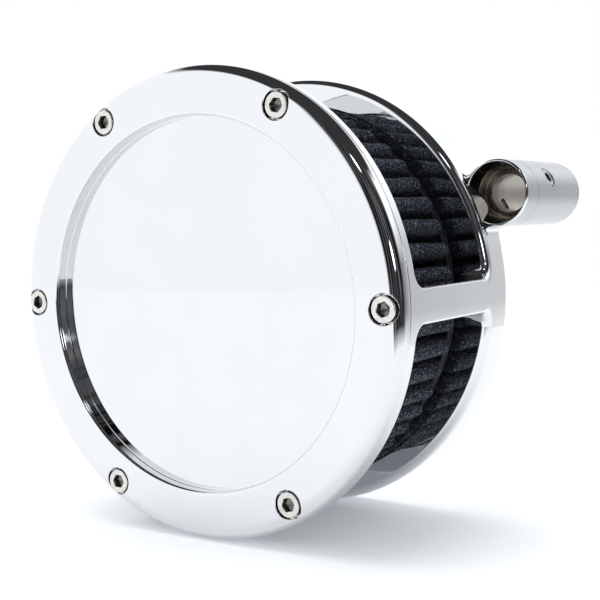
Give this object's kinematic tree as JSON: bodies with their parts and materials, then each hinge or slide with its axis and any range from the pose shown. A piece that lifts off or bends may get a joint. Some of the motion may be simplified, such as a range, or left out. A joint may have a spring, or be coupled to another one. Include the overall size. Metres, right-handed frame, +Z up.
{
  "type": "motorcycle air filter",
  "caption": "Round open-cage air filter with a pleated gauze element, a recessed disc cover held by cap screws, and twin hollow standoffs behind.",
  "frame": {"origin": "centre of the throttle bore on the back plate's rear face, which seats on the throttle body", "axes": "+X right seen from the cover, +Y back towards the engine along the air bore, +Z up; the cover faces -Y"},
  "size_m": [0.208, 0.1313, 0.18],
  "materials": {
    "housing_chrome": "chrome plated and mirror polished billet",
    "cover_chrome": "chrome plated and mirror polished billet",
    "bell_aluminium": "turned, fine tool marks",
    "standoff_aluminium": "satin turned",
    "screw_steel": "stainless, satin",
    "grub_steel": "plated, satin",
    "filter_gauze": "oiled pleated cotton gauze, navy",
    "filter_mesh": "epoxy coated woven mesh, dark",
    "cap_rubber": "moulded, matt",
    "seal_rubber": "moulded, satin"
  },
  "bodies": {
    "housing": {"housing": "housing_chrome", "inlet_bell": "bell_aluminium", "throttle_bolt_1": "screw_steel", "throttle_bolt_2": "screw_steel", "throttle_bolt_3": "screw_steel", "washer_1": "screw_steel", "washer_2": "screw_steel", "washer_3": "screw_steel", "throttle_seal": "seal_rubber", "standoff_right": "standoff_aluminium", "standoff_left": "standoff_aluminium", "standoff_seal_right": "seal_rubber", "standoff_seal_left": "seal_rubber", "grub_screw_right": "grub_steel", "grub_screw_left": "grub_steel"},
    "cover": {"front_cover": "cover_chrome"},
    "element": {"element_gauze": "filter_gauze", "element_outer_mesh": "filter_mesh", "element_inner_mesh": "filter_mesh", "element_front_cap": "cap_rubber", "element_rear_cap": "cap_rubber"},
    "cover_screw_1": {"cover_screw_1": "screw_steel"},
    "cover_screw_2": {"cover_screw_2": "screw_steel"},
    "cover_screw_3": {"cover_screw_3": "screw_steel"},
    "cover_screw_4": {"cover_screw_4": "screw_steel"},
    "cover_screw_5": {"cover_screw_5": "screw_steel"},
    "cover_screw_6": {"cover_screw_6": "screw_steel"}
  },
  "joints": [
    {"name": "cover_lift_off", "type": "slide", "parent": "housing", "child": "cover", "axis": [0, -1, 0], "range_m": [0, 0.14]},
    {"name": "element_lift_out", "type": "slide", "parent": "housing", "child": "element", "axis": [0, -1, 0], "range_m": [0, 0.07]},
    {"name": "cover_screw_1_withdraw", "type": "slide", "parent": "cover", "child": "cover_screw_1", "axis": [0, -1, 0], "range_m": [0, 0.03]},
    {"name": "cover_screw_2_withdraw", "type": "slide", "parent": "cover", "child": "cover_screw_2", "axis": [0, -1, 0], "range_m": [0, 0.03]},
    {"name": "cover_screw_3_withdraw", "type": "slide", "parent": "cover", "child": "cover_screw_3", "axis": [0, -1, 0], "range_m": [0, 0.03]},
    {"name": "cover_screw_4_withdraw", "type": "slide", "parent": "cover", "child": "cover_screw_4", "axis": [0, -1, 0], "range_m": [0, 0.03]},
    {"name": "cover_screw_5_withdraw", "type": "slide", "parent": "cover", "child": "cover_screw_5", "axis": [0, -1, 0], "range_m": [0, 0.03]},
    {"name": "cover_screw_6_withdraw", "type": "slide", "parent": "cover", "child": "cover_screw_6", "axis": [0, -1, 0], "range_m": [0, 0.03]}
  ],
  "couplings": [
    {"joint": "element_lift_out", "follows": "cover_lift_off", "ratio": 0.5}
  ]
}
